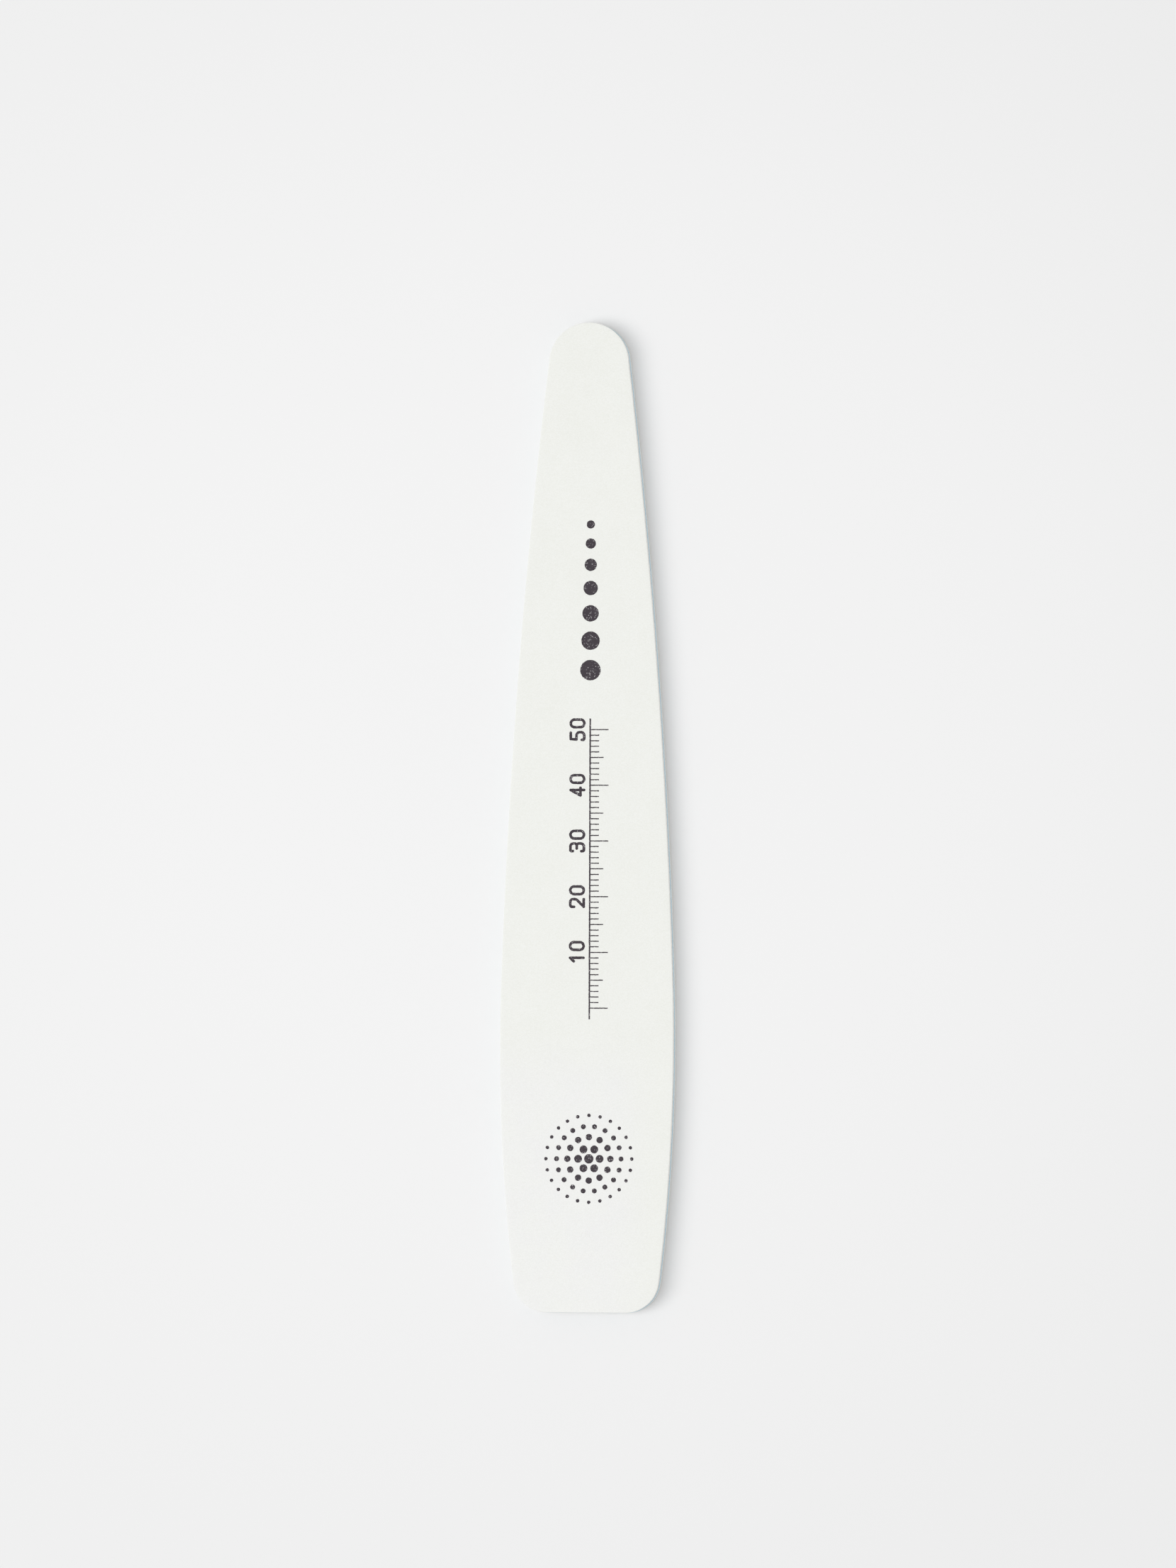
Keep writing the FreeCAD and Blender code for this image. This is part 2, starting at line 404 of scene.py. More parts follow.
@dataclass(frozen=True)
class AcrylicAdhesiveFilm:
    """Clear acrylic transfer adhesive, cut through with the layers it joins.

    The eye sees a hairline that is darker and wetter than the foam beside it.
    """

    name: str = "clear_acrylic_adhesive_cut"
    colour: str = "#EBEEED"
    smear_colour: str = "#DDE2E2"
    smear_length: float = 2.5
    wettest_roughness: float = 0.24
    driest_roughness: float = 0.54

    def material(self) -> Material:
        """Build the adhesive's node material.

        Returns:
            The finished material.
        """
        material, add, place = new_material(self.name)
        smears = add(
            "ShaderNodeTexNoise", {"Vector": place, "Scale": 1 / self.smear_length, "Detail": 3.0}
        )
        colour = add(
            "ShaderNodeMix",
            {"Factor": smears, COLOUR_A: self.colour, COLOUR_B: self.smear_colour},
            data_type="RGBA",
        )
        gloss = add(
            "ShaderNodeMapRange",
            {"Value": smears, "To Min": self.wettest_roughness, "To Max": self.driest_roughness},
        )
        return finish_material(material, colour, gloss, None, {"IOR": 1.47})


@dataclass(frozen=True)
class ClosedCellFoam:
    """Closed-cell EVA foam sheet, white and die-cut.

    The eye sees a soft white edge without gloss, pricked with cells that the blade has opened,
    whose pits are darkened with painted shade, and slightly lit from inside because the thin
    cell walls let light through.
    """

    name: str = "white_eva_foam_die_cut"
    wall_colour: str = "#F7F6F4"
    # Painted shade: the darker colour put into the pits of the opened cells
    painted_pit_shade_colour: str = "#EEEDEB"
    # Cells of such a foam are 0.1 to 0.4 mm wide, and the larger ones are drawn
    cell_width: float = 0.3
    cell_relief: float = 0.05
    # How far light gets into the foam, and how red, green and blue differ in that
    light_depth: float = 0.8
    light_spread: tuple[float, float, float] = (0.5, 0.6, 0.65)
    roughness: float = 0.9

    def material(self) -> Material:
        """Build the foam's node material.

        Returns:
            The finished material.
        """
        material, add, place = new_material(self.name)
        cells = add(
            "ShaderNodeTexVoronoi",
            {"Vector": place, "Scale": 1 / self.cell_width, "Randomness": 0.9},
        )
        # Opened cells, which sink the relief and are darkened with painted shade in their pits
        opened = add(
            "ShaderNodeMapRange",
            {"Value": cells, "From Min": 0.25, "From Max": 0.6, "To Min": 1.0, "To Max": 0.0},
            interpolation_type="SMOOTHSTEP",
        )
        colour = add(
            "ShaderNodeMix",
            {"Factor": opened, COLOUR_A: self.wall_colour, COLOUR_B: self.painted_pit_shade_colour},
            data_type="RGBA",
        )
        relief = add(
            "ShaderNodeBump",
            {"Height": opened, "Strength": 0.6, "Distance": self.cell_relief * MM},
            invert=True,
        )
        others = {
            "Specular IOR Level": 0.3,
            "Subsurface Weight": 0.12,
            "Subsurface Radius": self.light_spread,
            "Subsurface Scale": self.light_depth * MM,
        }
        return finish_material(material, colour, self.roughness, relief, others)


@dataclass(frozen=True)
class PolystyreneSheet:
    """Impact polystyrene sheet, coloured through in light blue and die-cut.

    The eye sees the strongest blue of the edge, satin with duller streaks, and scored by
    the blade in fine lines across the thickness that whiten the plastic.
    """

    name: str = "light_blue_polystyrene_die_cut"
    colour: str = "#C3DEE9"
    stress_colour: str = "#D2E6EE"
    # The blade's score lines are about 0.02 mm wide, and are drawn at 0.12 mm
    score_width: float = 0.12
    # How often a score changes in a millimetre of its length, so that it stays almost even
    score_changes: float = 0.6
    score_relief: float = 0.02
    smoothest_roughness: float = 0.34
    dullest_roughness: float = 0.72

    def material(self) -> Material:
        """Build the core sheet's node material.

        Returns:
            The finished material.
        """
        material, add, place = new_material(self.name)
        scale = (1 / self.score_width, 1 / self.score_width, self.score_changes)
        stretched = add("ShaderNodeMapping", {"Vector": place, "Scale": scale})
        scores = add(
            "ShaderNodeTexNoise",
            {"Vector": stretched, "Scale": 1.0, "Detail": 2.0, "Roughness": 0.7},
        )
        stressed = add("ShaderNodeMapRange", {"Value": scores, "From Min": 0.45, "From Max": 0.75})
        colour = add(
            "ShaderNodeMix",
            {"Factor": stressed, COLOUR_A: self.colour, COLOUR_B: self.stress_colour},
            data_type="RGBA",
        )
        gloss = add(
            "ShaderNodeMapRange",
            {"Value": scores, "To Min": self.smoothest_roughness, "To Max": self.dullest_roughness},
        )
        relief = add(
            "ShaderNodeBump",
            {"Height": scores, "Strength": 0.5, "Distance": self.score_relief * MM},
        )
        return finish_material(material, colour, gloss, relief, {"IOR": 1.59})


@dataclass(frozen=True)
class PadPrintInk:
    """Dark grey pad-printing ink with a violet cast, stamped onto the grit.

    The eye sees a dull solid tone that the tallest grains break through in pale specks,
    most of all inside the broad dots.
    """

    name: str = "violet_grey_ink_pad_printed"
    colour: str = "#332C32"
    thin_colour: str = "#443D44"
    speck_colour: str = "#BDBABC"
    # Specks are single grains and small clusters of them
    speck_width: float = 0.2
    # A grain starts to break through at the first, and is wholly bare at the second
    breaking: float = 0.35
    bare: float = 0.45
    ink_relief: float = 0.02
    patch_width: float = 0.8
    roughness: float = 0.62

    def material(self) -> Material:
        """Build the ink's node material.

        Returns:
            The finished material.
        """
        material, add, place = new_material(self.name)
        grains = add("ShaderNodeTexVoronoi", {"Vector": place, "Scale": 1 / self.speck_width})
        tone = add("ShaderNodeSeparateColor", {"Color": grains.outputs["Color"]})
        thinness = add(
            "ShaderNodeTexNoise",
            {"Vector": place, "Scale": 1 / self.patch_width, "Detail": 4.0, "Roughness": 0.7},
        )
        film = add(
            "ShaderNodeMix",
            {"Factor": thinness, COLOUR_A: self.colour, COLOUR_B: self.thin_colour},
            data_type="RGBA",
        )
        # A grain breaks through where its own height and the film's thinness agree
        rise = add("ShaderNodeMath", {0: tone.outputs["Green"], 1: thinness}, operation="MULTIPLY")
        broken = add(
            "ShaderNodeMapRange", {"Value": rise, "From Min": self.breaking, "From Max": self.bare}
        )
        spot = add(
            "ShaderNodeMapRange",
            {"Value": grains, "From Min": 0.2, "From Max": 0.55, "To Min": 1.0, "To Max": 0.0},
        )
        speck = add("ShaderNodeMath", {0: broken, 1: spot}, operation="MULTIPLY", use_clamp=True)
        colour = add(
            "ShaderNodeMix",
            {"Factor": speck, COLOUR_A: film, COLOUR_B: self.speck_colour},
            data_type="RGBA",
        )
        relief = add(
            "ShaderNodeBump",
            {"Height": grains, "Strength": 0.5, "Distance": self.ink_relief * MM},
            invert=True,
        )
        gloss = {"Specular IOR Level": 0.28}
        return finish_material(material, colour, self.roughness, relief, gloss)


@dataclass(frozen=True)
class TableLaminate:
    """Pale matte laminate of the table, pressed against a smooth plate.

    The eye sees a plain light grey with hardly any mottling. Round the file it is painted a
    shade paler than further out, as painted light that falls off outwards. Far outside the
    photograph's frame it passes into the backdrop's tone, so that no horizon shows from low down.
    """

    name: str = "pale_laminate_pressed"
    colour: str = "#F3F3F3"
    # Colour that both the mottling and the painted light's falloff lead towards
    outer_colour: str = "#EEEEEE"
    # Painted light: the table is paler round this centre out to the first radius, and falls off to
    # the outer colour by the second
    painted_light_centre: tuple[float, float, float] = (0.0, 20.0, 0.0)
    painted_light_radius: float = 50.0
    painted_light_end_radius: float = 200.0
    blend_radius: float = 260.0
    backdrop_radius: float = 1100.0
    mottle_width: float = 30.0
    mottle_share: float = 0.06
    roughness: float = 0.8

    def material(self) -> Material:
        """Build the table's node material.

        Returns:
            The finished material.
        """
        material, add, place = new_material(self.name)
        mottle = add(
            "ShaderNodeTexNoise", {"Vector": place, "Scale": 1 / self.mottle_width, "Detail": 3.0}
        )
        reach = add("ShaderNodeVectorMath", {0: place, 1: self.painted_light_centre}, operation="DISTANCE")
        # Painted light: 0 in the pale pool round the file, rising to 1 where it has fallen off
        outward = add(
            "ShaderNodeMapRange",
            {"Value": reach, "From Min": self.painted_light_radius, "From Max": self.painted_light_end_radius},
            interpolation_type="SMOOTHSTEP",
        )
        tone = add(
            "ShaderNodeMath",
            {0: mottle, 1: self.mottle_share, 2: outward},
            operation="MULTIPLY_ADD",
            use_clamp=True,
        )
        colour = add(
            "ShaderNodeMix",
            {"Factor": tone, COLOUR_A: self.colour, COLOUR_B: self.outer_colour},
            data_type="RGBA",
        )
        laminate = add(
            "ShaderNodeBsdfPrincipled",
            {"Base Color": colour, "Roughness": self.roughness, "Specular IOR Level": 0.1},
        )
        backdrop = add("ShaderNodeEmission", {"Color": BACKDROP_COLOUR})
        far = add(
            "ShaderNodeMapRange",
            {"Value": reach, "From Min": self.blend_radius, "From Max": self.backdrop_radius},
            interpolation_type="SMOOTHSTEP",
        )
        blended = add(
            "ShaderNodeMixShader", {0: background_share(add, far), 1: laminate, 2: backdrop}
        )
        add("ShaderNodeOutputMaterial", {"Surface": blended})
        return material


@dataclass(frozen=True)
class Arc:
    """One arc of the board's outline, turning anticlockwise, with its angles in radians from +X."""

    centre_x: float
    centre_y: float
    radius: float
    start: float
    end: float


@dataclass(frozen=True)
class EdgeStations:
    """Places round the die-cut outline, anticlockwise from the middle of the butt.

    The first half runs up the right-hand side to the tip, and the second half mirrors it
    down the left.
    """

    points: np.ndarray
    normals: np.ndarray

    @property
    def count(self) -> int:
        """Number of places round the outline."""
        return len(self.points)

    def drawn_in(self, setback: np.ndarray | float) -> np.ndarray:
        """Places that stand back from the outline by the setback."""
        return self.points - self.normals * np.reshape(setback, (-1, 1))

    def noise_along(self, setback: float, height: float, width: float, seed: float) -> np.ndarray:
        """Smooth noise between about -1 and 1 along one ring of a cut edge.

        Args:
            setback: Setback of the ring.
            height: Height of the ring.
            width: Width of the noise's features.
            seed: Sets one layer's noise apart from another's.

        Returns:
            One value for each place.
        """
        shift = Vector((seed, 2.3 * seed, 0.7 * seed))
        values = [
            noise.noise(Vector((x, y, height)) / width + shift) for x, y in self.drawn_in(setback)
        ]
        return np.array(values)


@dataclass
class BoardOutline:
    """The board's die-cut outline, seen from above, and how the blade squeezed its rim.

    The outline has the sizes of the CAD source. The pinch is the small roll of the faces
    towards each other that the die leaves along the cut, and is in the looks alone.
    """

    length: float = 178.0
    width: float = 31.5
    widest_station: float = 48.4
    butt_draw_in: float = 2.5
    butt_corner_radius: float = 6.1
    tip_radius: float = 7.25
    shoulder_turn_share: float = 0.46
    middle_height: float = 2.0
    pinch_depth: float = 0.05
    pinch_width: float = 0.8
    # The core and its adhesive, this far up and down from the middle, aren't squeezed
    core_half: float = 0.46
    foam_thickness: float = 1.2
    # Setback from which a face no longer follows the cut
    face_start: float = 3.0

    @property
    def butt_y(self) -> float:
        """Place of the butt end along Y."""
        return -self.length / 2

    @property
    def tip_centre_y(self) -> float:
        """Place of the round tip's centre along Y."""
        return self.length / 2 - self.tip_radius

    def side_arcs(self) -> list[Arc]:
        """Draw the right-hand side.

        Returns:
            Its arcs from the butt to the tip, each tangent to the next.
        """
        half_width = self.width / 2
        corner = self.butt_corner_radius
        corner_x = half_width - self.butt_draw_in - corner
        corner_y = self.butt_y + corner
        rise = self.widest_station - corner
        reach = self.butt_draw_in + corner
        shoulder_radius = (reach**2 + rise**2 - corner**2) / (2 * self.butt_draw_in)
        shoulder_x = half_width - shoulder_radius
        shoulder_y = self.butt_y + self.widest_station
        corner_turn = math.atan2(corner_y - shoulder_y, corner_x - shoulder_x)
        slope = math.atan2(half_width - self.tip_radius, self.tip_centre_y - shoulder_y)
        turn = self.shoulder_turn_share * slope
        along = shoulder_y - self.tip_centre_y
        radius_drop = shoulder_radius - self.tip_radius
        lean = shoulder_x * math.cos(turn) + along * math.sin(turn) + radius_drop
        growth = (shoulder_x**2 + along**2 - radius_drop**2) / (2 * lean)
        flank_x = shoulder_x - growth * math.cos(turn)
        flank_y = shoulder_y - growth * math.sin(turn)
        tip_turn = math.atan2(self.tip_centre_y - flank_y, -flank_x)
        return [
            Arc(corner_x, corner_y, corner, -math.pi / 2, corner_turn),
            Arc(shoulder_x, shoulder_y, shoulder_radius, corner_turn, turn),
            Arc(flank_x, flank_y, shoulder_radius + growth, turn, tip_turn),
            Arc(0.0, self.tip_centre_y, self.tip_radius, tip_turn, math.pi / 2),
        ]

    def stations(self, step: float) -> EdgeStations:
        """Divide the outline into even steps.

        Args:
            step: Widest spacing along the outline.

        Returns:
            The places, with the outward direction at each.
        """
        arcs = self.side_arcs()
        butt_end = arcs[0].centre_x
        butt_steps = max(2, math.ceil(butt_end / step))
        right = [(butt_end * n / butt_steps, self.butt_y, 0.0, -1.0) for n in range(butt_steps)]
        for arc in arcs:
            turn = arc.end - arc.start
            steps = max(2, math.ceil(arc.radius * turn / step))
            for n in range(steps):
                angle = arc.start + turn * n / steps
                across, along = math.cos(angle), math.sin(angle)
                x = arc.centre_x + arc.radius * across
                y = arc.centre_y + arc.radius * along
                right.append((x, y, across, along))
        apex = (0.0, self.length / 2, 0.0, 1.0)
        left = [(-x, y, -across, along) for x, y, across, along in reversed(right[1:])]
        ring = np.array(right + [apex] + left)
        return EdgeStations(ring[:, :2], ring[:, 2:])

    def pinched(self, height: np.ndarray | float, setback: np.ndarray | float) -> np.ndarray:
        """Heights after the die has rolled the rim of the faces.

        The faces move in full, the core not at all, and the foam between them gives way.

        Args:
            height: Heights as laid up.
            setback: Distances from the outline.

        Returns:
            The heights as they are on the cut board.
        """
        from_middle = np.asarray(height, float) - self.middle_height
        nearness = np.clip(1 - np.asarray(setback, float) / self.pinch_width, 0, 1)
        give = np.clip((np.abs(from_middle) - self.core_half) / self.foam_thickness, 0, 1)
        return height - np.sign(from_middle) * give * self.pinch_depth * nearness**2


@dataclass
class DieCutSheet:
    """Collects the rings of one die-cut layer and closes them into a solid.

    The rings run from the middle of the lower face out to the cut edge, up it, and back to
    the middle of the upper face.
    """

    outline: BoardOutline
    step: float
    crease: float = CREASE
    # Width and length of a face's slow unevenness
    sag_width: float = 6.0
    sag_length: float = 9.0
    rings: list[np.ndarray] = field(default_factory=list)

    def __post_init__(self) -> None:
        """Divide the outline once for all rings."""
        self.stations = self.outline.stations(self.step)

    def add_cut_ring(self, height: np.ndarray | float, setback: np.ndarray | float) -> None:
        """Add a ring that follows the outline.

        Args:
            height: Height of the ring, one for all or one for each station.
            setback: How far it stands back from the outline, likewise.
        """
        setbacks = np.broadcast_to(setback, self.stations.count)
        laid = np.broadcast_to(height, self.stations.count)
        heights = self.outline.pinched(laid, setbacks)
        self.rings.append(np.column_stack([self.stations.drawn_in(setbacks), heights]))

    def add_bonded_ring(self, height: float) -> None:
        """Add a ring where the pinch of a bonded face ends, if the face is pinched at all."""
        if abs(self.outline.pinched(height, 0.0) - height) > TOLERANCE:
            self.add_cut_ring(height, self.outline.pinch_width)

    def add_face_ring(self, height: float, share: float, sag: float) -> None:
        """Add a ring on a face, between the last cut ring and the board's middle line.

        Args:
            height: Height of the face.
            share: 0 at the last cut ring, and 1 on the middle line.
            sag: Depth of the face's slow unevenness, towards the board's middle.
        """
        outline = self.outline
        start = self.stations.drawn_in(outline.face_start)
        spine_y = np.clip(start[:, 1], outline.butt_y + outline.width / 2, outline.tip_centre_y)
        spine = np.column_stack([np.zeros(self.stations.count), spine_y])
        flat = start * (1 - share) + spine * share
        inward = -math.copysign(1.0, height - outline.middle_height)
        heights = []
        for x, y in flat:
            wave = noise.noise(Vector((x / self.sag_width, y / self.sag_length, height)))
            heights.append(height + inward * sag * (0.5 + 0.5 * wave))
        self.rings.append(np.column_stack([flat, heights]))

    def mesh(self, name: str) -> Mesh:
        """Join the rings into a closed mesh.

        Args:
            name: Name of the mesh.

        Returns:
            The mesh, in metres.
        """
        count = self.stations.count
        last = (len(self.rings) - 1) * count
        faces: list[Face] = []
        for base in range(0, last, count):
            faces += ring_wall(base, base + count, count)
        # Rungs from side to side close the innermost ring of each face
        for n in range(count // 2):
            rung = dict.fromkeys((n, n + 1, count - n - 1, (count - n) % count))
            faces.append(tuple(reversed(rung)))
            faces.append(tuple(last + corner for corner in rung))
        return new_mesh(name, (np.concatenate(self.rings) * MM).tolist(), faces, self.crease)


def node_heights(node: str) -> tuple[float, float]:
    """Lower and upper height of a CAD node, in millimetres."""
    lowest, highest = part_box(node)
    return lowest.z / MM, highest.z / MM


def add_piece(name: str, mesh: Mesh, node: str, material: Material) -> Piece:
    """Put a finished mesh in the scene in place of a CAD node.

    Args:
        name: Name of the new piece.
        mesh: Its mesh, in metres and in the frame.
        node: CAD node that it stands for.
        material: Its finish.

    Returns:
        The new piece.
    """
    piece = new_object(name, mesh)
    piece.data.materials.append(material)
    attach(piece, "root")
    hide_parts(node)
    return piece


@dataclass
class AbrasiveSheet:
    """One face of the board: backing paper with the grit coat on it.

    The rings of both are added from the core outwards. The noise of a cut edge changes
    faster across the thickness than along the cut, by the rise.
    """

    side: Side
    outline: BoardOutline
    grit: Material
    paper: Material
    paper_step: float = 0.22
    paper_crease: float = 50.0
    paper_setback: float = 0.05
    paper_fuzz: float = 0.018
    fuzz_width: float = 0.3
    fuzz_rise: float = 2.0
    fuzz_seed: float = 4.0
    grit_step: float = 0.2
    grit_crease: float = 60.0
    grit_setback: float = 0.09
    grit_rounding: float = 0.05
    grit_tear: float = 0.03
    # The tear is made of broad chips and small crumbs, each with its share of the depth, and
    # the shift sets the crumbs' noise apart from the chips'
    chip_width: float = 0.7
    chip_share: float = 0.5
    crumb_width: float = 0.25
    crumb_share: float = 0.9
    crumb_shift: float = 5.0
    tear_rise: float = 3.0
    lower_seed: float = 13.0
    upper_seed: float = 9.0
    face_sag: float = 0.012
    face_shares: tuple[float, ...] = (0.2, 0.45, 0.7, 0.92)

    def build(self) -> list[Piece]:
        """Build the sheet's two pieces, from the paper out."""
        return [self.build_paper(), self.build_grit()]

    def levels(self, node: str) -> tuple[float, float]:
        """Height of a layer's surface towards the core, and of the one away from it."""
        low, high = node_heights(node)
        return (low, high) if self.side is Side.UPPER else (high, low)

    def close(self, sheet: DieCutSheet, name: str) -> Mesh:
        """Mesh a sheet whose rings were added from the core outwards.

        Args:
            sheet: The sheet with its rings.
            name: Name of the mesh.

        Returns:
            The closed mesh.
        """
        if self.side is Side.LOWER:
            sheet.rings.reverse()
        return sheet.mesh(name)

    def build_paper(self) -> Piece:
        """Build the backing paper, with the furry edge that the die leaves.

        Returns:
            The paper's piece.
        """
        node = f"{self.side.value}_backing_paper"
        inner, outer = self.levels(node)
        sheet = DieCutSheet(self.outline, self.paper_step, self.paper_crease)
        sheet.add_bonded_ring(inner)
        # Share of the thickness, and how far the edge is rounded there
        for level, rounding in ((0.0, 0.03), (0.12, 0.0), (0.4, 0.0), (0.7, 0.004), (1.0, 0.02)):
            height = inner + (outer - inner) * level
            setback = self.paper_setback + rounding
            fuzz = sheet.stations.noise_along(
                setback, height * self.fuzz_rise, self.fuzz_width, self.fuzz_seed
            )
            sheet.add_cut_ring(height, setback + self.paper_fuzz * np.abs(fuzz))
        sheet.add_bonded_ring(outer)
        name = f"{self.side.value}_paper_sheet"
        return add_piece(name, self.close(sheet, name), node, self.paper)

    def build_grit(self) -> Piece:
        """Build the grit coat, with a crumbled rim and a face that is not quite flat.

        Returns:
            The grit's piece.
        """
        node = f"{self.side.value}_grit_coat"
        inner, outer = self.levels(node)
        sheet = DieCutSheet(self.outline, self.grit_step, self.grit_crease)
        sheet.add_bonded_ring(inner)
        seed = self.upper_seed if self.side is Side.UPPER else self.lower_seed
        # Share of the thickness, setback, and share of the tear in full
        profile = (
            (0.0, self.grit_setback, 1.0),
            (0.45, self.grit_setback - 0.01, 1.0),
            (0.8, self.grit_setback + 0.3 * self.grit_rounding, 1.0),
            (0.97, self.grit_setback + self.grit_rounding, 0.6),
            (1.0, self.grit_setback + 2.2 * self.grit_rounding, 0.2),
            (1.0, 0.45, 0.0),
            (1.0, self.outline.pinch_width, 0.0),
            (1.0, 1.6, 0.0),
            (1.0, self.outline.face_start, 0.0),
        )
        for level, setback, torn in profile:
            height = inner + (outer - inner) * level
            rise = height * self.tear_rise
            chips = sheet.stations.noise_along(setback, rise, self.chip_width, seed)
            crumbs = sheet.stations.noise_along(
                setback, rise, self.crumb_width, seed + self.crumb_shift
            )
            tear = self.chip_share * chips + self.crumb_share * crumbs
            sheet.add_cut_ring(height, setback + torn * self.grit_tear * tear)
        for share in self.face_shares:
            sheet.add_face_ring(outer, share, self.face_sag)
        name = f"{self.side.value}_grit_face"
        return add_piece(name, self.close(sheet, name), node, self.grit)


@dataclass
class FoamCushion:
    """One foam pad with the adhesive films on both of its faces."""

    side: Side
    outline: BoardOutline
    foam: Material
    adhesive: Material
    foam_step: float = 0.16
    foam_crease: float = 75.0
    foam_rows: int = 9
    foam_setback: float = 0.1
    waist_depth: float = 0.11
    waist_bend: float = 1.6
    cell_width: float = 0.34
    cell_depth: float = 0.09
    # Share of a cell's width that its pit reaches out to
    cell_reach: float = 0.6
    # Share of its depth that a pit keeps at the bonded faces, where the adhesive fills it,
    # and how late towards them the rest is lost
    bonded_share: float = 0.35
    bonded_bend: float = 4.0
    firmness: float = 1.0
    adhesive_step: float = 0.5
    adhesive_crease: float = 50.0
    adhesive_setback: float = 0.15
    adhesive_creep: float = 0.05
    adhesive_bulge: float = 0.02
    creep_length: float = 2.4
    face_seed: float = 17.0
    core_seed: float = 23.0

    def build(self) -> list[Piece]:
        """Build the pad and its two films."""
        return [self.build_film(Neighbour.CORE), self.build_pad(), self.build_film(Neighbour.FACE)]

    def build_pad(self) -> Piece:
        """Build the pad, drawn in to a waist and pitted by the cells that the blade opened.

        Returns:
            The pad's piece.
        """
        node = f"{self.side.value}_foam_pad"
        low, high = node_heights(node)
        sheet = DieCutSheet(self.outline, self.foam_step, self.foam_crease)
        sheet.add_bonded_ring(low)
        for row in range(self.foam_rows):
            level = row / (self.foam_rows - 1)
            height = low + (high - low) * level
            # 0 halfway up, and 1 at the bonded faces
            off_middle = abs(2 * level - 1)
            setback = self.foam_setback + self.waist_depth * (1 - off_middle**self.waist_bend)
            fade = self.bonded_share + (1 - self.bonded_share) * (1 - off_middle**self.bonded_bend)
            sheet.add_cut_ring(height, setback + fade * self.pits(sheet.stations, setback, height))
        sheet.add_bonded_ring(high)
        name = f"{self.side.value}_foam_cushion"
        piece = add_piece(name, sheet.mesh(name), node, self.foam)
        return piece

    def pits(self, stations: EdgeStations, setback: float, height: float) -> np.ndarray:
        """Depth of the opened cells along one ring of the pad's cut edge.

        Args:
            stations: Places round the outline.
            setback: Setback of the ring.
            height: Height of the ring.

        Returns:
            One depth for each place.
        """
        depths = []
        for x, y in stations.drawn_in(setback):
            distances, _ = noise.voronoi(Vector((x, y, height)) / self.cell_width)
            depths.append(self.cell_depth * max(0.0, 1 - (distances[0] / self.cell_reach) ** 2))
        return np.array(depths)

    def build_film(self, neighbour: Neighbour) -> Piece:
        """Build one adhesive film, whose edge creeps in and out under its neighbours.

        Args:
            neighbour: Layer that the film bonds the foam to.

        Returns:
            The film's piece.
        """
        node = f"{self.side.value}_{neighbour.value}_adhesive"
        low, high = node_heights(node)
        sheet = DieCutSheet(self.outline, self.adhesive_step, self.adhesive_crease)
        seed = self.face_seed if neighbour is Neighbour.FACE else self.core_seed
        creep = sheet.stations.noise_along(self.adhesive_setback, low, self.creep_length, seed)
        setback = self.adhesive_setback + self.adhesive_creep * creep
        sheet.add_bonded_ring(low)
        for level, bulge in ((0.0, 0.0), (0.5, self.adhesive_bulge), (1.0, 0.0)):
            sheet.add_cut_ring(low + (high - low) * level, setback - bulge)
        sheet.add_bonded_ring(high)
        name = f"{self.side.value}_{neighbour.value}_glue_line"
        return add_piece(name, sheet.mesh(name), node, self.adhesive)


@dataclass
class CoreBoard:
    """Stiff plastic sheet in the middle of the board."""

    outline: BoardOutline
    plastic: Material
    step: float = 0.3
    shear_share: float = 0.55
    break_setback: float = 0.03
    break_roughness: float = 0.02
    break_width: float = 0.5
    break_seed: float = 31.0

    def build(self) -> Piece:
        """Build the sheet, whose edge the blade sheared at first and then broke through.

        Returns:
            The sheet's piece.
        """
        low, high = node_heights("core_board")
        sheet = DieCutSheet(self.outline, self.step)
        # Share of the thickness, setback, and share of the break's roughness in full
        profile = (
            (0.0, self.break_setback + 0.02, 1.0),
            (0.06, self.break_setback, 1.0),
            (0.22, 0.8 * self.break_setback, 1.0),
            (1 - self.shear_share, 0.5 * self.break_setback, 0.7),
            (1.04 - self.shear_share, 0.0, 0.0),
            (0.94, 0.0, 0.0),
            (0.985, 0.012, 0.0),
            (1.0, 0.04, 0.0),
        )
        for level, setback, rough in profile:
            height = low + (high - low) * level
            tear = sheet.stations.noise_along(setback, height, self.break_width, self.break_seed)
            sheet.add_cut_ring(height, setback + rough * self.break_roughness * np.abs(tear))
        mesh = sheet.mesh("core_sheet")
        return add_piece("core_sheet", mesh, "core_board", self.plastic)


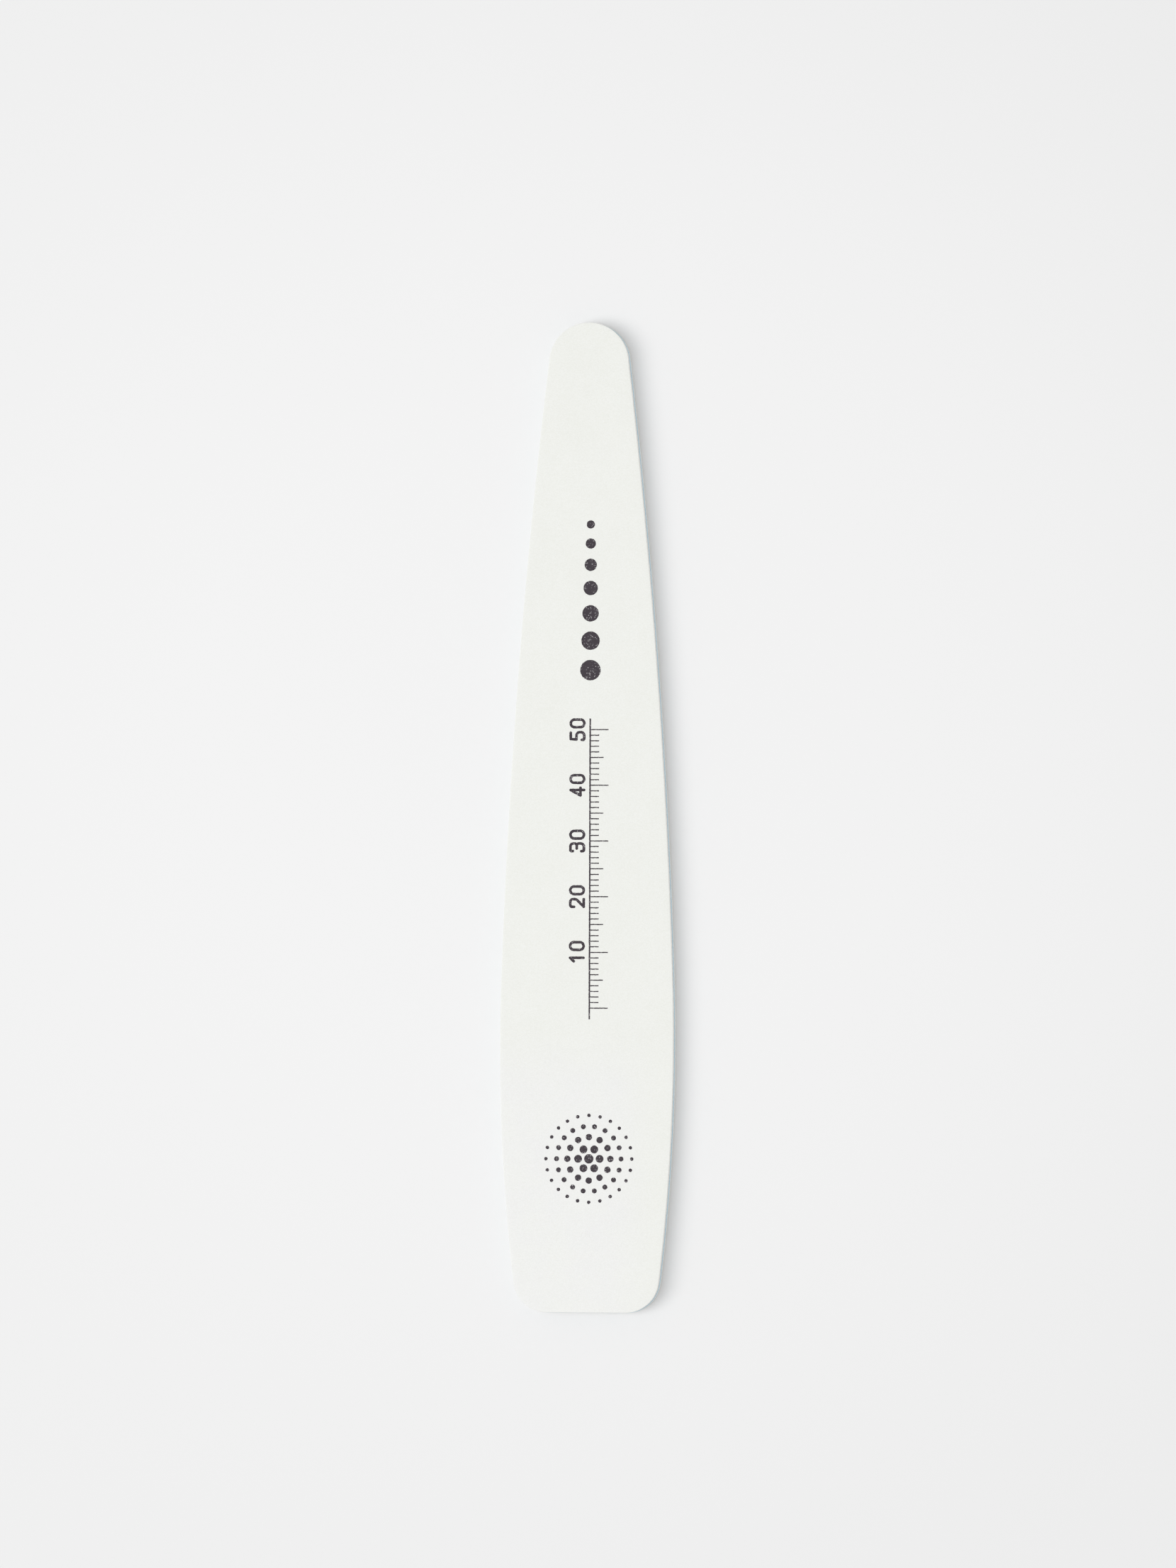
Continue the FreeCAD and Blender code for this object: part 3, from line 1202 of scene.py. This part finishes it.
@dataclass
class PrintedFace:
    """Ink films of the upper face: the measuring scale, its numbers, and two patterns of dots.

    Each follows the rim of its CAD film, with the small waver of ink on grit.
    """

    ink: Material
    step: float = 0.11
    # noise_vector starts from the clock's time unless it gets a seed
    waver_seed: int = 7
    waver_depth: float = 0.035
    waver_length: float = 0.3
    nibble_depth: float = 0.016
    nibble_length: float = 0.1
    film_depth: float = 0.035
    films: tuple[tuple[str, str], ...] = (
        ("scale_ink", "scale_print"),
        ("scale_number_ink", "scale_number_print"),
        ("dot_row_ink", "dot_row_print"),
        ("dot_rosette_ink", "dot_rosette_print"),
    )

    def build(self) -> list[Piece]:
        """Build all the films.

        Returns:
            Their pieces.
        """
        noise.seed_set(self.waver_seed)
        pieces = []
        for name, node in self.films:
            mesh = self.film_mesh(name, node)
            pieces.append(add_piece(name, mesh, node, self.ink))
        return pieces

    def rims(self, node: str) -> list[Loop]:
        """Rims of a film's upper face, outer ones anticlockwise and inner ones clockwise.

        Args:
            node: CAD node of the film.

        Returns:
            The closed rims, in millimetres.
        """
        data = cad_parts[node].data
        top = node_heights(node)[1] * MM
        places = [(round(v.co.x / MM, 4), round(v.co.y / MM, 4)) for v in data.vertices]
        edges: set[tuple[Place, Place]] = set()
        for polygon in data.polygons:
            corners = list(polygon.vertices)
            if any(abs(data.vertices[n].co.z - top) > TOLERANCE * MM for n in corners):
                continue
            for n, corner in enumerate(corners):
                edges.add((places[corners[n - 1]], places[corner]))
        onward = {start: end for start, end in sorted(edges) if (end, start) not in edges}
        rims = []
        while onward:
            first = next(iter(onward))
            rim = [first]
            place = onward.pop(first)
            while place != first:
                rim.append(place)
                place = onward.pop(place)
            rims.append(rim)
        return rims

    def wavered(self, rim: Loop) -> Loop:
        """Divide a rim into short steps and let it waver as ink does on grit.

        Args:
            rim: Closed rim of a film.

        Returns:
            The wavering rim.
        """
        wavered = []
        for n, (x, y) in enumerate(rim):
            before = Vector((*rim[n - 1], 0.0))
            run = Vector((x, y, 0.0)) - before
            steps = max(1, math.ceil(run.length / self.step))
            for k in range(steps):
                place = before + run * (k / steps)
                waver = noise.noise_vector(place / self.waver_length) * self.waver_depth
                nibble = noise.noise_vector(place / self.nibble_length) * self.nibble_depth
                moved = place + waver + nibble
                wavered.append((moved.x, moved.y))
        return wavered

    def film_mesh(self, name: str, node: str) -> Mesh:
        """Build one film as a closed mesh that is sunk a little into the grit.

        Args:
            name: Name of the mesh.
            node: CAD node whose rims it follows.

        Returns:
            The mesh, in metres.
        """
        top = node_heights(node)[1]
        places: list[tuple[float, float, float]] = []
        faces: list[Face] = []
        for island in group_islands([self.wavered(rim) for rim in self.rims(node)]):
            base = len(places)
            flat = [place for rim in island for place in rim]
            count = len(flat)
            for height in (top - self.film_depth, top):
                places += [(x * MM, y * MM, height * MM) for x, y in flat]
            outlines = [[Vector((x, y, 0)) for x, y in rim] for rim in island]
            for triangle in tessellate_polygon(outlines):
                if signed_area([flat[n] for n in triangle]) < 0:
                    triangle = tuple(reversed(triangle))
                faces.append(tuple(base + count + n for n in triangle))
                faces.append(tuple(base + n for n in reversed(triangle)))
            for rim in island:
                faces += ring_wall(base, base + count, len(rim))
                base += len(rim)
        return new_mesh(name, places, faces)


def signed_area(loop: Sequence[Place]) -> float:
    """Area inside a loop, positive where it runs anticlockwise."""
    corners = range(len(loop))
    return 0.5 * sum(loop[n - 1][0] * loop[n][1] - loop[n][0] * loop[n - 1][1] for n in corners)


def holds(loop: Loop, place: Place) -> bool:
    """Find out whether a place is inside a loop.

    Args:
        loop: Closed loop.
        place: Place to look for.

    Returns:
        Whether the loop goes round the place.
    """
    x, y = place
    inside = False
    for n in range(len(loop)):
        (ax, ay), (bx, by) = loop[n - 1], loop[n]
        if (ay > y) != (by > y) and x < ax + (y - ay) * (bx - ax) / (by - ay):
            inside = not inside
    return inside


def group_islands(rims: list[Loop]) -> list[list[Loop]]:
    """Put each outer rim together with the inner rims that it holds.

    Args:
        rims: Outer rims, which run anticlockwise, and inner ones, which run clockwise.

    Returns:
        One list for each outer rim, which comes first in it.
    """
    islands = [[rim] for rim in rims if signed_area(rim) > 0]
    for rim in rims:
        if signed_area(rim) > 0:
            continue
        holders = [island for island in islands if holds(island[0], rim[0])]
        min(holders, key=lambda island: signed_area(island[0])).append(rim)
    return islands


@dataclass
class PhotoStudio:
    """Pale table, soft light from the left, and a camera almost straight above."""

    table: Material
    # Rings of the table top's mesh, far wider than any view
    table_radii: tuple[float, ...] = (150.0, 600.0, 2400.0, 9000.0, 30000.0)
    table_steps: int = 96
    # How bright each light makes a level white sheet, where 1 is full white
    sky_level: float = 0.67
    lamp_level: float = 0.33
    lamp_distance: float = 2500.0
    lamp_elevation: float = 63.0
    lamp_azimuth: float = 191.0
    # Half angles that the softbox fills, seen from the file: across, and up and down
    lamp_half_across: float = 13.0
    lamp_half_up: float = 26.5
    camera_target: tuple[float, float, float] = (0.1, 5.87, 4.0)
    camera_distance: float = 1600.0
    camera_lean_right: float = 8.3
    camera_lean_butt: float = 1.8
    camera_roll: float = 0.19
    view_height: float = 281.6
    film_height: float = 36.0
    view_reach: float = 200000.0

    def build(self) -> None:
        """Build everything that is around the file."""
        self.build_table()
        self.build_sky()
        self.build_lamp()
        self.build_camera()
        bpy.context.scene.view_settings.view_transform = "Standard"

    def build_table(self) -> None:
        """Build the table top as a round sheet in rings."""
        around = self.table_steps
        places = [(0.0, 0.0, 0.0)]
        for radius in self.table_radii:
            for n in range(around):
                angle = 2 * math.pi * n / around
                places.append((radius * MM * math.cos(angle), radius * MM * math.sin(angle), 0.0))
        faces: list[Face] = [(0, 1 + n, 1 + (n + 1) % around) for n in range(around)]
        for ring in range(len(self.table_radii) - 1):
            base = 1 + ring * around
            faces += ring_wall(base + around, base, around)
        table = new_object("table_top", new_mesh("table_top", places, faces))
        table.data.materials.append(self.table)

    def build_sky(self) -> None:
        """Light the scene evenly, before a backdrop that meets the table's far tone."""
        world = bpy.data.worlds.new("studio_sky")
        world.use_nodes = True
        world.node_tree.nodes.clear()
        add = partial(add_node, world.node_tree)
        light = add("ShaderNodeBackground", {"Color": "#FFFFFF", "Strength": self.sky_level})
        backdrop = add("ShaderNodeBackground", {"Color": BACKDROP_COLOUR})
        mixed = add("ShaderNodeMixShader", {0: background_share(add, 1.0), 1: light, 2: backdrop})
        add("ShaderNodeOutputWorld", {"Surface": mixed})
        bpy.context.scene.world = world

    def build_lamp(self) -> None:
        """Hang one tall oval softbox to the left, whose light falls off slowly to the right."""
        elevation = math.radians(self.lamp_elevation)
        azimuth = math.radians(self.lamp_azimuth)
        half_across = math.radians(self.lamp_half_across)
        half_up = math.radians(self.lamp_half_up)
        distance = self.lamp_distance * MM
        flat = math.cos(elevation)
        towards = Vector((flat * math.cos(azimuth), flat * math.sin(azimuth), math.sin(elevation)))
        light = bpy.data.lights.new("left_softbox", "AREA")
        light.shape = "ELLIPSE"
        light.size = 2 * distance * math.tan(half_across)
        light.size_y = 2 * distance * math.tan(half_up)
        # An oval area light of P watts lights a flat surface at a plain level of about
        # P * sin(elevation) * cos(half across) * cos(half up) / (pi * distance)**2
        spread = math.cos(half_across) * math.cos(half_up)
        light.energy = self.lamp_level * (math.pi * distance) ** 2 / (math.sin(elevation) * spread)
        lamp = new_object("left_softbox", light)
        lamp.location = towards * distance
        lamp.rotation_euler = towards.to_track_quat("Z", "Y").to_euler()

    def build_camera(self) -> None:
        """Place the camera where the photograph was taken from, and aim it."""
        right_lean = math.tan(math.radians(self.camera_lean_right))
        butt_lean = math.tan(math.radians(self.camera_lean_butt))
        backward = Vector((right_lean, -butt_lean, 1.0)).normalized()
        roll = math.radians(self.camera_roll)
        upward = Vector((-math.sin(roll), math.cos(roll), 0.0))
        rightward = upward.cross(backward).normalized()
        upward = backward.cross(rightward)
        place = Vector(self.camera_target) * MM + backward * self.camera_distance * MM
        turn = Matrix((rightward, upward, backward)).transposed().to_4x4()
        data = bpy.data.cameras.new("overhead_camera")
        data.sensor_width = self.film_height
        data.lens = self.film_height * self.camera_distance / self.view_height
        data.clip_end = self.view_reach * MM
        camera = new_object("overhead_camera", data)
        camera.matrix_world = Matrix.Translation(place) @ turn
        bpy.context.scene.camera = camera


def main() -> None:
    """Build the file from its core outwards, then the studio around it."""
    logging.basicConfig(level=logging.INFO, format="%(message)s")
    outline = BoardOutline()
    grit = AluminiumOxideGrit().material()
    paper = LatexBackingPaper().material()
    adhesive = AcrylicAdhesiveFilm().material()
    foam = ClosedCellFoam().material()
    pieces = [CoreBoard(outline, PolystyreneSheet().material()).build()]
    for side in Side:
        pieces += FoamCushion(side, outline, foam, adhesive).build()
        pieces += AbrasiveSheet(side, outline, grit, paper).build()
    pieces += PrintedFace(PadPrintInk().material()).build()
    for piece in pieces:
        mesh = piece.data
        log.info("%s: %d vertices of %s", piece.name, len(mesh.vertices), mesh.materials[0].name)
    PhotoStudio(TableLaminate().material()).build()


if __name__ == "__main__":
    main()
